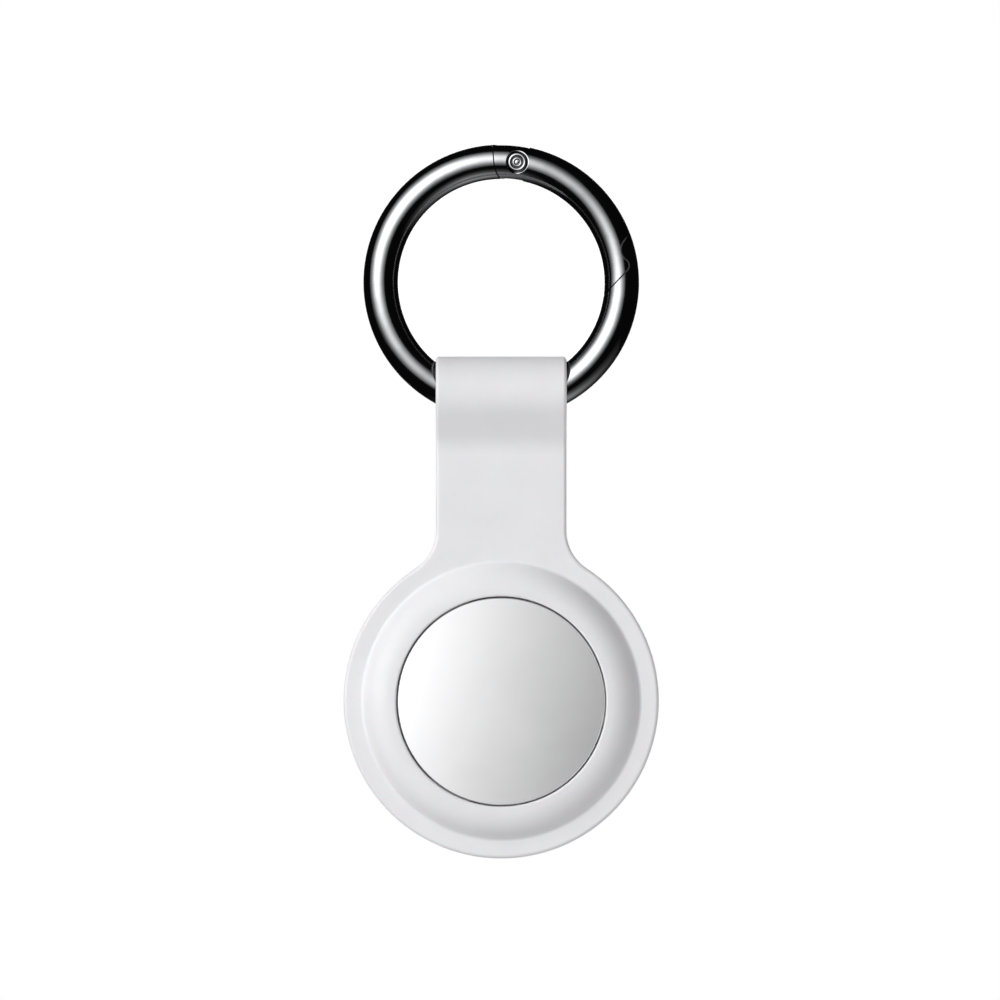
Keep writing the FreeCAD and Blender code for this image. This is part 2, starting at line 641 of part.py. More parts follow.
def make_holder_sleeve():
    body = new_body("holder_sleeve")

    # strap and loop from the side, a teardrop that runs out into the strap
    lean = "loop_taper_angle"
    tangent_out = f"({LOOP_RADIUS} * cos({lean}))"
    tangent_up = f"(loop_to_tag - {LOOP_RADIUS} * sin({lean}))"
    fillet_out = f"({HALF_THICK} + loop_fillet_radius * (1 - cos({lean})))"
    fillet_up = f"({tangent_up} - ({tangent_out} - {fillet_out}) / tan({lean}))"
    strap_up = f"({fillet_up} - loop_fillet_radius * sin({lean}))"
    front = [("0", f"loop_to_tag + {LOOP_RADIUS}"), (f"-{tangent_out}", tangent_up),
             (f"-{fillet_out}", fillet_up), (f"-{HALF_THICK}", strap_up), (f"-{HALF_THICK}", "0")]
    back = [(out[1:], up) for out, up in front[:0:-1]]
    side = new_sketch(body, "strap_side", "YZ_Plane")
    draw_outline(side, front + back,
                 {0: (LOOP_RADIUS, "left"), 2: ("loop_fillet_radius", "right"),
                  6: ("loop_fillet_radius", "right"), 8: (LOOP_RADIUS, "left")})
    extrude(body, "Pad", side, "strap_width", "strap_pad")

    # flange with a hollow curve on each side of the neck
    neck_out = f"({HALF_STRAP} + neck_radius)"
    neck_span = f"({FLANGE_RADIUS} + neck_radius)"
    neck_up = f"sqrt({neck_span} ^ 2 - {neck_out} ^ 2)"
    meet_out = f"({neck_out} * {FLANGE_RADIUS} / {neck_span})"
    meet_up = f"({neck_up} * {FLANGE_RADIUS} / {neck_span})"
    face = new_sketch(body, "flange_face", "XZ_Plane")
    draw_outline(
        face,
        [(HALF_STRAP, neck_up), (f"-{HALF_STRAP}", neck_up), (f"-{meet_out}", meet_up),
         ("0", f"-{FLANGE_RADIUS}"), (meet_out, meet_up)],
        {1: ("neck_radius", "right"), 2: (FLANGE_RADIUS, "left"), 3: (FLANGE_RADIUS, "left"),
         4: ("neck_radius", "right")},
    )
    blank = extrude(body, "Pad", face, "strap_thickness", "flange_pad")
    round_edges(body, blank, sharp_edges(blank.Shape), "edge_radius", "edge_rounds")

    # domes at the front and back, each with a flat land and a rounded lip
    half = [(OPENING_RADIUS, f"{DOME_RISE} - lip_radius"), (f"{OPENING_RADIUS} + lip_radius", DOME_RISE),
            (DOME_CENTRE, DOME_RISE), (DOME_OUTER, DOME_LEVEL)]
    front_half = [(radius, f"-({depth})") for radius, depth in half]
    domes = new_sketch(body, "domes", "XY_Plane")
    draw_outline(domes, front_half + half[::-1],
                 {0: ("lip_radius", "right"), 2: ("dome_radius", "left"),
                  4: ("dome_radius", "left"), 6: ("lip_radius", "right")})
    wall = turn(body, "Revolution", domes, "domes_turned")

    # crease where each dome rises from the flange
    foot = worth(domes, f"{DOME_CENTRE} + sqrt(dome_radius ^ 2 - max(0; {HALF_THICK} - {DOME_LEVEL}) ^ 2)")
    creases = [f"Edge{number}" for number, edge in enumerate(wall.Shape.Edges, start=1)
               if isinstance(edge.Curve, Part.Circle)
               and math.isclose(edge.Curve.Radius, foot, rel_tol=MATCH_SHARE)]
    round_edges(body, wall, creases, "crease_radius", "crease_rounds")

    # pocket that follows the tag, open at the front and back
    corners, bends = tag_side("pocket_clearance")
    crown = f"{CROWN_RADIUS} + pocket_clearance"
    beyond = f"({DOME_RISE} + cut_overrun)"
    front_face = f"-({FRONT_HEIGHT} + pocket_clearance)"
    pocket = new_sketch(body, "pocket", "XY_Plane")
    draw_outline(
        pocket,
        [("0", f"-{beyond}"), (OPENING_RADIUS, f"-{beyond}"), (OPENING_RADIUS, front_face)] + corners
        + [(OPENING_RADIUS, dome_height(OPENING_RADIUS, crown, CROWN_LEVEL)), (OPENING_RADIUS, beyond),
           ("0", beyond)],
        {3 + index: bend for index, bend in bends.items()} | {6: (crown, "left")},
    )
    turn(body, "Groove", pocket, "pocket_cut")

    # tunnel for the ring, flared at its mouths to let the ring swing
    flare = f"({HALF_STRAP} - tunnel_flare_length)"
    past = f"({HALF_STRAP} + tunnel_flare_length)"
    tunnel = new_sketch(body, "tunnel", "XY_Plane", "loop_to_tag")
    draw_outline(
        tunnel,
        [(f"-{past}", "0"), (past, "0"), (past, MOUTH_RADIUS), (HALF_STRAP, MOUTH_RADIUS),
         (flare, TUNNEL_RADIUS), (f"-{flare}", TUNNEL_RADIUS), (f"-{HALF_STRAP}", MOUTH_RADIUS),
         (f"-{past}", MOUTH_RADIUS)],
    )
    turn(body, "Groove", tunnel, "tunnel_cut", axis="H_Axis")
    tag_place(body)
    return body


# Tracker tag, each piece turned about the tag's axis, with its front towards -Y
def make_tag_shell():
    corners, bends = tag_side("0")
    rim_level = f"-({FRONT_LEVEL} + sqrt(tag_front_radius ^ 2 - ({CAVITY_RADIUS} - {FRONT_CENTRE}) ^ 2))"
    ceiling_edge = dome_height(BACK_CENTRE, CEILING_RADIUS, CROWN_LEVEL)
    body = turned_piece(
        "tag_shell",
        [(CAVITY_RADIUS, rim_level)] + corners[1:]
        + [(CROWN_FLAT, BACK_HEIGHT), ("0", BACK_HEIGHT), ("0", f"{BACK_HEIGHT} - tag_wall"),
           (CROWN_FLAT, f"{BACK_HEIGHT} - tag_wall"), (BACK_CENTRE, ceiling_edge),
           (CAVITY_RADIUS, "-tag_back_level")],
        bends | {3: (CROWN_RADIUS, "left"), 7: (CEILING_RADIUS, "right")},
    )
    tag_place(body)
    return body


def make_battery_cover():
    edge_level = f"(-{COVER_EDGE})"
    inside = f"({COVER_SPHERE} - cover_sheet)"
    centre = f"({COVER_SPHERE} - cover_height)"
    corner = f"{centre} - sqrt({inside} ^ 2 - {COVER_INSIDE} ^ 2)"
    body = turned_piece(
        "battery_cover",
        [("0", "-cover_height"), (CROWN_FLAT, "-cover_height"), (COVER_FLAT, edge_level),
         (COVER_RADIUS, f"{edge_level} + cover_edge_radius"), (COVER_RADIUS, f"-{SKIRT_LEVEL}"),
         (COVER_INSIDE, f"-{SKIRT_LEVEL}"), (COVER_INSIDE, corner),
         (CROWN_FLAT, "cover_sheet - cover_height"), ("0", "cover_sheet - cover_height")],
        {1: (COVER_SPHERE, "left"), 2: ("cover_edge_radius", "left"), 6: (inside, "right")},
    )
    tag_place(body)
    return body


def make_cover_bayonet():
    """Ring bonded inside the cover, its wall in the tray's channel, with tabs that pass the catches."""
    label = "cover_bayonet"
    front = f"-({COVER_EDGE} - cover_sheet - bayonet_bond_gap)"
    plate_outer = f"{COVER_INSIDE} - bayonet_bond_gap"
    plate_inner = f"{BAYONET_INNER} - bayonet_plate_lap"
    body = turned_piece(
        label,
        [(plate_inner, front), (plate_outer, front), (plate_outer, f"-{SKIRT_LEVEL}"),
         (BAYONET_OUTER, f"-{SKIRT_LEVEL}"), (BAYONET_OUTER, f"-{BAYONET_END}"),
         (BAYONET_INNER, f"-{BAYONET_END}"), (BAYONET_INNER, f"-{SKIRT_LEVEL}"),
         (plate_inner, f"-{SKIRT_LEVEL}")],
    )
    tab = new_sketch(body, "tab", "XY_Plane")
    wall_middle = f"{BAYONET_INNER} + bayonet_wall / 2"
    draw_outline(tab, [(wall_middle, f"-{TAB_FRONT}"), (TAB_OUTER, f"-{TAB_FRONT}"),
                       (TAB_OUTER, f"-{BAYONET_END}"), (wall_middle, f"-{BAYONET_END}")])
    first = turn(body, "Revolution", tab, "tab_turned", sweep="tab_sweep_angle")
    pattern(body, first, tab, "catch_count", "tabs")
    tag_place(body)
    return body


def make_battery_tray():
    """Tray with the battery well, the bayonet's channel and the catches over the tabs."""
    rim_level = f"-({FRONT_LEVEL} + sqrt(tag_front_radius ^ 2 - ({TRAY_RADIUS} - {FRONT_CENTRE}) ^ 2))"
    under = f"-({CHANNEL_LEVEL} - tray_floor)"
    body = turned_piece(
        "battery_tray",
        [(SEAT_RADIUS, f"-{FRONT_HEIGHT}"), (FRONT_CENTRE, f"-{FRONT_HEIGHT}"), (TRAY_RADIUS, rim_level),
         (TRAY_RADIUS, under), (WELL_OUTER, under), (WELL_OUTER, FLOOR_UNDER), ("0", FLOOR_UNDER),
         ("0", FLOOR_TOP), (WELL_RADIUS, FLOOR_TOP), (WELL_RADIUS, f"-{WELL_TOP}"),
         (WELL_OUTER, f"-{WELL_TOP}"), (WELL_OUTER, f"-{CHANNEL_LEVEL}"),
         (SEAT_RADIUS, f"-{CHANNEL_LEVEL}")],
        {1: ("tag_front_radius", "left")},
    )
    catch = new_sketch(body, "catch", "XY_Plane")
    outer = f"{SEAT_RADIUS} + tray_clearance"
    draw_outline(catch, [(CATCH_INNER, f"-{CATCH_FRONT}"), (outer, f"-{CATCH_FRONT}"),
                         (outer, f"-{CATCH_UNDER}"), (CATCH_INNER, f"-{CATCH_UNDER}")])
    first = turn(body, "Revolution", catch, "catch_turned", sweep="catch_sweep_angle")
    pattern(body, first, catch, "catch_count", "catches")
    tag_place(body)
    return body


def make_cover_seal():
    inner = f"{WELL_RADIUS} + seal_inset"
    outer = f"{WELL_OUTER} - seal_inset"
    body = turned_piece("cover_seal", [(inner, f"-{SKIRT_LEVEL}"), (outer, f"-{SKIRT_LEVEL}"),
                                       (outer, f"-{WELL_TOP}"), (inner, f"-{WELL_TOP}")])
    tag_place(body)
    return body


def make_cell_pad():
    """Foam pad between the cell and the cover, shaped to the cover's crown."""
    inside = f"({COVER_SPHERE} - cover_sheet - pad_bond_gap)"
    centre = f"({COVER_SPHERE} - cover_height)"
    front = "cover_sheet + pad_bond_gap - cover_height"
    body = turned_piece(
        "cell_pad",
        [("0", front), (CROWN_FLAT, front), (PAD_RADIUS, f"{centre} - sqrt({inside} ^ 2 - {PAD_RADIUS} ^ 2)"),
         (PAD_RADIUS, f"-{CELL_HEIGHT}"), ("0", f"-{CELL_HEIGHT}")],
        {1: (inside, "left")},
    )
    tag_place(body)
    return body


def make_cell_can():
    """Positive cup of the cell, its rim crimped in over the gasket at the back."""
    lip = f"{CELL_RADIUS} - cell_edge_radius - crimp_reach"
    body = turned_piece(
        "cell_can",
        [("0", f"-{CELL_HEIGHT}"), (f"{CELL_RADIUS} - cell_edge_radius", f"-{CELL_HEIGHT}"),
         (CELL_RADIUS, f"cell_edge_radius - {CELL_HEIGHT}"),
         (CELL_RADIUS, "-(crimp_drop + cell_edge_radius)"),
         (f"{CELL_RADIUS} - cell_edge_radius", "-crimp_drop"), (lip, "-crimp_drop"),
         (lip, "-(crimp_drop + cell_wall)"), (CAN_INSIDE, "-(crimp_drop + cell_edge_radius + cell_wall)"),
         (CAN_INSIDE, f"cell_wall - {CELL_HEIGHT}"), ("0", f"cell_wall - {CELL_HEIGHT}")],
        {1: ("cell_edge_radius", "left"), 3: ("cell_edge_radius", "left")},
    )
    tag_place(body)
    return body


def make_cell_gasket():
    """Seal between the cell's can and cap, its edge showing inside the crimp."""
    inner = f"{CAP_RADIUS} + gasket_clearance"
    outer = f"{CAN_INSIDE} - gasket_clearance"
    lip = f"{CELL_RADIUS} - cell_edge_radius - crimp_reach - gasket_clearance"
    low = "-(crimp_drop + cell_edge_radius + cell_wall + gasket_clearance)"
    front = f"cell_wall + gasket_clearance - {CELL_HEIGHT}"
    body = turned_piece(
        "cell_gasket",
        [(inner, front), (outer, front), (outer, low), (lip, "-(crimp_drop + cell_wall + gasket_clearance)"),
         (lip, "-crimp_drop"), (inner, "-crimp_drop")],
    )
    tag_place(body)
    return body


def make_cell_cap():
    """Negative cap of the cell with what it holds."""
    front = f"cell_wall + gasket_clearance - {CELL_HEIGHT}"
    body = turned_piece(
        "cell_cap",
        [("0", front), (CAP_RADIUS, front), (CAP_RADIUS, "-cell_edge_radius"),
         (f"{CAP_RADIUS} - cell_edge_radius", "0"), ("0", "0")],
        {2: ("cell_edge_radius", "left")},
    )
    tag_place(body)
    return body


def make_contact_negative():
    """Bent leaf on the floor of the well, its crest against the cell."""
    body = new_body("contact_negative")
    half = "leaf_length / 2"
    foot = f"{half} * leaf_foot_share"
    crest = f"{half} * leaf_crest_share"
    low = f"{FLOOR_TOP} - leaf_thickness"
    upper = [(half, low), (foot, low), (crest, "0")]
    lower = [(f"{crest} - leaf_thickness / 2", "leaf_thickness"), (f"{foot} - leaf_thickness / 2", FLOOR_TOP),
             (half, FLOOR_TOP)]
    mirrored = [(f"-({along})", depth) for along, depth in (upper + lower)[::-1]]
    side = new_sketch(body, "leaf_side", "XY_Plane")
    draw_outline(side, upper + mirrored[3:] + mirrored[:3] + lower)
    extrude(body, "Pad", side, "leaf_width", "leaf_pad")
    tag_place(body)
    return body


def make_contacts_positive():
    """Thin tabs between the side of the cell and the wall of its well."""
    body = new_body("contacts_positive")
    body.AllowCompound = True
    inner = f"{CELL_RADIUS} + (well_gap - side_contact_thickness) / 2"
    outer = f"{inner} + side_contact_thickness"
    front = f"{FLOOR_TOP} - side_contact_height"
    tab = new_sketch(body, "side_tab", "XY_Plane")
    draw_outline(tab, [(inner, front), (outer, front), (outer, FLOOR_TOP), (inner, FLOOR_TOP)])
    first = turn(body, "Revolution", tab, "side_tab_turned", sweep="side_contact_sweep_angle")
    pattern(body, first, tab, "side_contact_count", "side_tabs")
    tag_place(body)
    return body


def washer(label, inner, outer, front, back):
    """Flat ring, or a disc where the inner radius is zero."""
    body = turned_piece(label, [(inner, front), (outer, front), (outer, back), (inner, back)])
    tag_place(body)
    return body


def make_board_chips():
    """Chips on the back of the board, set round it."""
    chips = []
    for label, (angle, length_share, width_share) in CHIP_ANGLES_AND_SHARES.items():
        chip = doc.addObject("Part::Box", label)
        bind(chip, "Length", f"chip_side * {length_share}")
        bind(chip, "Width", "chip_height")
        bind(chip, "Height", f"chip_side * {width_share}")
        across, up = turned(CHIP_RADIUS, str(angle))
        bind(chip, "Placement.Base.x", f"{across} - chip_side * {length_share} / 2")
        bind(chip, "Placement.Base.y", BOARD_BACK)
        bind(chip, "Placement.Base.z", f"{up} - chip_side * {width_share} / 2")
        chips.append(chip)
    group = doc.addObject("Part::Compound", "board_chips")
    group.Label = "board_chips"
    group.Links = chips
    tag_place(group)
    return group


COIL_END = f"({dome_height(COIL_RADIUS, CEILING_RADIUS, CROWN_LEVEL)} - coil_bond_gap)"

pieces = [
    make_ring_frame(),
    make_gate_arm(),
    make_pivot_rivet(),
    make_spring_plunger(),
    make_gate_spring(),
    make_holder_sleeve(),
    make_tag_shell(),
    make_battery_cover(),
    make_cover_bayonet(),
    make_battery_tray(),
    make_cover_seal(),
    make_cell_pad(),
    make_cell_can(),
    make_cell_gasket(),
    make_cell_cap(),
    make_contact_negative(),
    make_contacts_positive(),
    washer("circuit_board", HOLE_RADIUS, BOARD_RADIUS, FLOOR_UNDER, BOARD_BACK),
    make_board_chips(),
    washer("speaker_magnet", "0", MAGNET_RADIUS, FLOOR_UNDER, MAGNET_BACK),
    washer("voice_coil", COIL_INNER, COIL_RADIUS, f"{COIL_END} - coil_height", COIL_END),
]
doc.recompute()

# Nothing is written unless every object was rebuilt and every piece is a sound solid
for item in doc.Objects:
    if "Invalid" in item.State or "Error" in item.State:
        raise RuntimeError(f"{item.Name} was not rebuilt: {item.State}")
for piece in pieces:
    if piece.Shape.isNull() or not piece.Shape.isValid() or piece.Shape.Volume <= 0:
        raise RuntimeError(f"{piece.Label} is not a sound solid")

os.makedirs("parts", exist_ok=True)
for piece in pieces:
    piece.Shape.exportStep(f"parts/{piece.Label}.step")
    print(piece.Label, len(piece.Shape.Solids), round(piece.Shape.Volume, 3))
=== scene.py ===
import json
import math

import bpy
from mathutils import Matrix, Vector


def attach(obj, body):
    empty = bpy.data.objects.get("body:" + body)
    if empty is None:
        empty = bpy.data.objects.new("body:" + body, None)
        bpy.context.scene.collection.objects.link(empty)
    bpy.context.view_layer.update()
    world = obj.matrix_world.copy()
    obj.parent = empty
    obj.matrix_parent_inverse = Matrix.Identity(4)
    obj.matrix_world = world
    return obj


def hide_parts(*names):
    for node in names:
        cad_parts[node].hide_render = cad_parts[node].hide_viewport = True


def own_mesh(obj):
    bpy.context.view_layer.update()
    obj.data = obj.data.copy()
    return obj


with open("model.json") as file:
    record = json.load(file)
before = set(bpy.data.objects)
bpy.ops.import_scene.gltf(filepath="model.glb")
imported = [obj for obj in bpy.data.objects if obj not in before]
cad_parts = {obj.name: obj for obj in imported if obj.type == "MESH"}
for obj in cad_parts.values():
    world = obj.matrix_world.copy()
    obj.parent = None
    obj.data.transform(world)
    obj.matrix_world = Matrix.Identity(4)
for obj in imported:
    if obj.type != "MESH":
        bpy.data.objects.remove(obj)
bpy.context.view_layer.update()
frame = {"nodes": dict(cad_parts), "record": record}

nodes = frame["nodes"]

MM = 0.001

# Places in the object's frame, in metres
TAG_CENTRE = Vector((0, 0, -51.0 * MM))
CROWN_MIDDLE = TAG_CENTRE + Vector((0, 255.73 * MM, 0))
AIM = Vector((-0.149 * MM, 0, -26.545 * MM))
PIVOT = Vector((1.94417 * MM, 0, 14.57087 * MM))
LATCH_NOSE = Vector((15.2 * MM, 0, 3.2 * MM))

# Ring and rivet sizes, in metres
RING_RADIUS = 14.7 * MM
WIRE_RADIUS = 2.15 * MM
DOT_RADIUS = 0.255 * MM

# Share of the rivet's dots' height that is kept
DOT_HEIGHT_SHARE = 0.3

# Greatest Y of a normal that counts as looking to the front
FRONT_FACING = -0.99

# Sockets of a Mix node, which share their names
MIX_FACTOR = 0
MIX_VECTORS = (4, 5)
MIX_COLOURS = (6, 7)
MIXED_VECTOR = 1
MIXED_COLOUR = 2


# Material helpers. Object coordinates are metres in the object's own frame.
class Paint:
    """One node material, with short calls for the nodes that it is made of."""

    def __init__(self, name):
        self.material = bpy.data.materials.new(name)
        self.material.use_nodes = True
        self.tree = self.material.node_tree
        self.shader = self.tree.nodes["Principled BSDF"]
        self.coordinates = self.node("TexCoord")
        self.place = self.coordinates.outputs["Object"]

    def set(self, **values):
        for name, value in values.items():
            self.shader.inputs[name.replace("_", " ")].default_value = value

    def link(self, output, name):
        self.tree.links.new(output, self.shader.inputs[name])

    def feed(self, socket, source):
        """Link a source to a socket, or set it there if it is a plain value."""
        if isinstance(source, bpy.types.NodeSocket):
            self.tree.links.new(source, socket)
        else:
            socket.default_value = source

    def node(self, kind, **sources):
        made = self.tree.nodes.new(f"ShaderNode{kind}")
        for name, source in sources.items():
            self.feed(made.inputs[name.replace("_", " ")], source)
        return made

    def maths(self, operation, first, second=0.0):
        made = self.node("Math")
        made.operation = operation
        self.feed(made.inputs[0], first)
        self.feed(made.inputs[1], second)
        return made.outputs[0]

    def vectors(self, operation, first, second=(0, 0, 0)):
        """Node of a vector operation, with the outputs Vector and Value."""
        made = self.node("VectorMath")
        made.operation = operation
        self.feed(made.inputs[0], first)
        self.feed(made.inputs[1], second)
        return made

    def moved(self, centre=(0, 0, 0), stretch=(1, 1, 1), turn=(0, 0, 0)):
        """Object coordinates about a centre, turned and stretched."""
        shifted = self.vectors("SUBTRACT", self.place, centre).outputs["Vector"]
        return self.node("Mapping", Vector=shifted, Rotation=turn, Scale=stretch).outputs["Vector"]

    def distance(self, centre):
        """Metres from this point."""
        return self.vectors("LENGTH", self.moved(centre)).outputs["Value"]

    def noise(self, size, detail=3.0, rough=0.55, where=None):
        """Smooth noise whose lumps are about this many metres across."""
        made = self.node("TexNoise", Vector=where or self.place, Scale=1 / size, Detail=detail,
                         Roughness=rough)
        return made.outputs["Fac"]

    def spread(self, source, low, high, start=0.3, end=0.7):
        """Value from low to high as the source goes from start to end."""
        made = self.node("MapRange", Value=source, From_Min=start, From_Max=end, To_Min=low, To_Max=high)
        return made.outputs["Result"]

    def blend(self, factor, first, second):
        """Colour between two, by the factor. A plain colour is three numbers."""
        made = self.node("Mix")
        made.data_type = "RGBA"
        self.feed(made.inputs[MIX_FACTOR], factor)
        for index, colour in zip(MIX_COLOURS, (first, second)):
            self.feed(made.inputs[index], (*colour, 1) if isinstance(colour, tuple) else colour)
        return made.outputs[MIXED_COLOUR]

    def openness(self, distance):
        """Share of the sky that nothing nearer than this distance hides, which is low in a narrow slot."""
        return self.node("AmbientOcclusion", Distance=distance).outputs["AO"]

    def ball_normal(self, middle):
        """Normal of a ball about this point for faces that look to the front, and the mesh's own normal
        for the rest."""
        outward = self.vectors("NORMALIZE", self.moved(middle)).outputs["Vector"]
        turned = self.node("VectorTransform", Vector=outward)
        turned.vector_type = "NORMAL"
        turned.convert_from = "OBJECT"
        turned.convert_to = "WORLD"
        own = self.node("NewGeometry").outputs["Normal"]
        facing = self.node("SeparateXYZ", Vector=self.coordinates.outputs["Normal"]).outputs["Y"]
        made = self.node("Mix")
        made.data_type = "VECTOR"
        self.feed(made.inputs[MIX_FACTOR], self.maths("LESS_THAN", facing, FRONT_FACING))
        for index, normal in zip(MIX_VECTORS, (own, turned.outputs["Vector"])):
            self.feed(made.inputs[index], normal)
        return made.outputs[MIXED_VECTOR]

    def bump(self, height, depth, strength=1.0, under=None):
        """Relief of this depth in metres, over another relief if one is given."""
        made = self.node("Bump", Height=height, Strength=strength, Distance=depth)
        if under is not None:
            self.feed(made.inputs["Normal"], under)
        return made.outputs["Normal"]


def black_nickel():
    """Polished black nickel plate on zinc, with faint polishing marks. Narrow slots get painted shade that
    makes them black inside, with a painted highlight that leaves them paler at the latch's nose."""
    plate_dark = (0.155, 0.156, 0.161)
    plate_light = (0.19, 0.191, 0.195)
    slot_painted_shade = (0.001, 0.001, 0.00105)
    nose_painted_highlight = (0.022, 0.022, 0.0225)
    paint = Paint("black_nickel")
    paint.set(Metallic=1.0)
    haze = paint.noise(2.2 * MM, detail=4)
    marks = paint.noise(0.35 * MM, detail=2, where=paint.moved(stretch=(1, 6, 1)))
    plate = paint.blend(paint.spread(haze, 0, 1), plate_dark, plate_light)
    # Painted shade: narrow slots, which little of the sky reaches, turn black
    slots = paint.spread(paint.openness(1.0 * MM), 0, 1, start=0.4, end=0.75)
    # Painted highlight: the slots' painted shade is paler near the latch's nose, leaving a light line
    # along the seam there
    nose_highlight_share = paint.spread(paint.distance(LATCH_NOSE), 1, 0, start=1.9 * MM, end=2.5 * MM)
    inside = paint.blend(nose_highlight_share, slot_painted_shade, nose_painted_highlight)
    paint.link(paint.blend(slots, inside, plate), "Base Color")
    rough = paint.maths("ADD", paint.spread(haze, 0.07, 0.11), paint.spread(marks, 0.0, 0.03))
    paint.link(rough, "Roughness")
    paint.link(paint.bump(marks, 0.0004 * MM, 0.5), "Normal")
    return paint.material


def white_silicone():
    """Matte moulded silicone with a fine eroded grain."""
    shaded = (0.79, 0.788, 0.812)
    clear = (0.82, 0.818, 0.838)
    paint = Paint("white_silicone")
    paint.set(Subsurface_Weight=0.12, Subsurface_Scale=0.6 * MM, Sheen_Weight=0.06, Sheen_Roughness=0.5)
    cloud = paint.noise(6 * MM, detail=3)
    grain = paint.noise(0.09 * MM, detail=2)
    paint.link(paint.blend(paint.spread(cloud, 0, 1), shaded, clear), "Base Color")
    paint.link(paint.spread(grain, 0.5, 0.62), "Roughness")
    paint.link(paint.bump(grain, 0.004 * MM, 0.6), "Normal")
    return paint.material


def polished_steel():
    """Stainless sheet, satin polished in the round, with hairline marks."""
    steel_dark = (0.76, 0.76, 0.77)
    steel_light = (0.8, 0.8, 0.808)
    mark_depth = 0.0002 * MM
    mark_strength = 0.4
    paint = Paint("polished_steel")
    paint.set(Metallic=1.0)
    from_centre = paint.node("CombineXYZ", X=paint.distance(TAG_CENTRE)).outputs["Vector"]
    rings = paint.noise(0.08 * MM, detail=2, rough=0.5, where=from_centre)
    haze = paint.noise(5 * MM, detail=4)
    hair = paint.noise(0.25 * MM, detail=3, where=paint.moved(stretch=(0.05, 1, 1), turn=(0, 0.6, 0)))
    tone = paint.maths("ADD", paint.spread(haze, 0, 0.7), paint.spread(hair, 0, 0.3))
    paint.link(paint.blend(tone, steel_dark, steel_light), "Base Color")
    paint.link(paint.maths("ADD", paint.spread(haze, 0.2, 0.24), paint.spread(hair, 0, 0.03)), "Roughness")
    turned = paint.bump(rings, mark_depth, mark_strength, under=paint.ball_normal(CROWN_MIDDLE))
    paint.link(paint.bump(hair, mark_depth, mark_strength, under=turned), "Normal")
    return paint.material


def moulded(name, dark, light, rough, grain_size, depth, **values):
    """Moulded plastic or rubber with cloudy colour, an uneven gloss and a grain."""
    paint = Paint(name)
    paint.set(**values)
    cloud = paint.noise(4 * MM, detail=3)
    grain = paint.noise(grain_size, detail=2)
    paint.link(paint.blend(paint.spread(cloud, 0, 1), dark, light), "Base Color")
    paint.link(paint.spread(grain, *rough), "Roughness")
    paint.link(paint.bump(grain, depth, 0.5), "Normal")
    return paint.material


def drawn_metal(name, dark, light, rough, stretch):
    """Plated or drawn metal with marks that run one way."""
    paint = Paint(name)
    paint.set(Metallic=1.0)
    marks = paint.noise(0.2 * MM, detail=3, where=paint.moved(stretch=stretch))
    haze = paint.noise(1.5 * MM, detail=3)
    paint.link(paint.blend(paint.spread(haze, 0, 1), dark, light), "Base Color")
    paint.link(paint.maths("ADD", paint.spread(haze, *rough), paint.spread(marks, 0, 0.08)), "Roughness")
    paint.link(paint.bump(marks, 0.001 * MM, 0.5), "Normal")
    return paint.material


FINISHES = {
    "black_nickel": black_nickel(),
    "silicone_white": white_silicone(),
    "cover_steel": polished_steel(),
    "tag_white": moulded(
        "tag_white", dark=(0.84, 0.84, 0.84), light=(0.88, 0.88, 0.88), rough=(0.14, 0.2),
        grain_size=0.4 * MM, depth=0.0008 * MM, Coat_Weight=0.3),
    "inner_plastic": moulded(
        "inner_plastic", dark=(0.78, 0.78, 0.77), light=(0.84, 0.84, 0.83), rough=(0.4, 0.5),
        grain_size=0.12 * MM, depth=0.003 * MM),
    "seal_rubber": moulded(
        "seal_rubber", dark=(0.02, 0.02, 0.02), light=(0.035, 0.035, 0.035), rough=(0.6, 0.75),
        grain_size=0.1 * MM, depth=0.004 * MM),
    "pad_foam": moulded(
        "pad_foam", dark=(0.06, 0.06, 0.065), light=(0.11, 0.11, 0.115), rough=(0.85, 0.95),
        grain_size=0.25 * MM, depth=0.03 * MM),
    "gasket_plastic": moulded(
        "gasket_plastic", dark=(0.5, 0.48, 0.43), light=(0.58, 0.56, 0.5), rough=(0.4, 0.5),
        grain_size=0.2 * MM, depth=0.002 * MM),
    "board_laminate": moulded(
        "board_laminate", dark=(0.012, 0.07, 0.035), light=(0.02, 0.11, 0.05), rough=(0.3, 0.42),
        grain_size=0.3 * MM, depth=0.004 * MM),
    "chip_plastic": moulded(
        "chip_plastic", dark=(0.012, 0.012, 0.013), light=(0.022, 0.022, 0.024), rough=(0.45, 0.6),
        grain_size=0.08 * MM, depth=0.003 * MM),
    "spring_steel": drawn_metal(
        "spring_steel", dark=(0.5, 0.5, 0.51), light=(0.62, 0.62, 0.63), rough=(0.2, 0.3),
        stretch=(6, 1, 1)),
    "cell_steel": drawn_metal(
        "cell_steel", dark=(0.62, 0.61, 0.59), light=(0.72, 0.71, 0.69), rough=(0.22, 0.32),
        stretch=(1, 1, 8)),
    "contact_metal": drawn_metal(
        "contact_metal", dark=(0.7, 0.52, 0.22), light=(0.83, 0.64, 0.3), rough=(0.2, 0.3),
        stretch=(8, 1, 1)),
    "magnet_plate": drawn_metal(
        "magnet_plate", dark=(0.55, 0.55, 0.55), light=(0.66, 0.66, 0.66), rough=(0.15, 0.25),
        stretch=(1, 1, 4)),
    "coil_copper": drawn_metal(
        "coil_copper", dark=(0.5, 0.2, 0.08), light=(0.68, 0.3, 0.14), rough=(0.25, 0.35),
        stretch=(1, 30, 1)),
}

for part in frame["record"]["subparts"]:
    piece = nodes[part["node"]]
    finish = FINISHES[part["material_slot"]]
    if not piece.material_slots:
        piece.data.materials.append(finish)
    for material_slot in piece.material_slots:
        material_slot.material = finish


# Pieces that stand for CAD nodes
def stand_in(name, node, body):
    """Copy of a CAD node that stands for it, so that its mesh can change."""
    copied = bpy.data.objects.new(name, nodes[node].data.copy())
    bpy.context.scene.collection.objects.link(copied)
    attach(copied, body)
    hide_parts(node)
    return copied


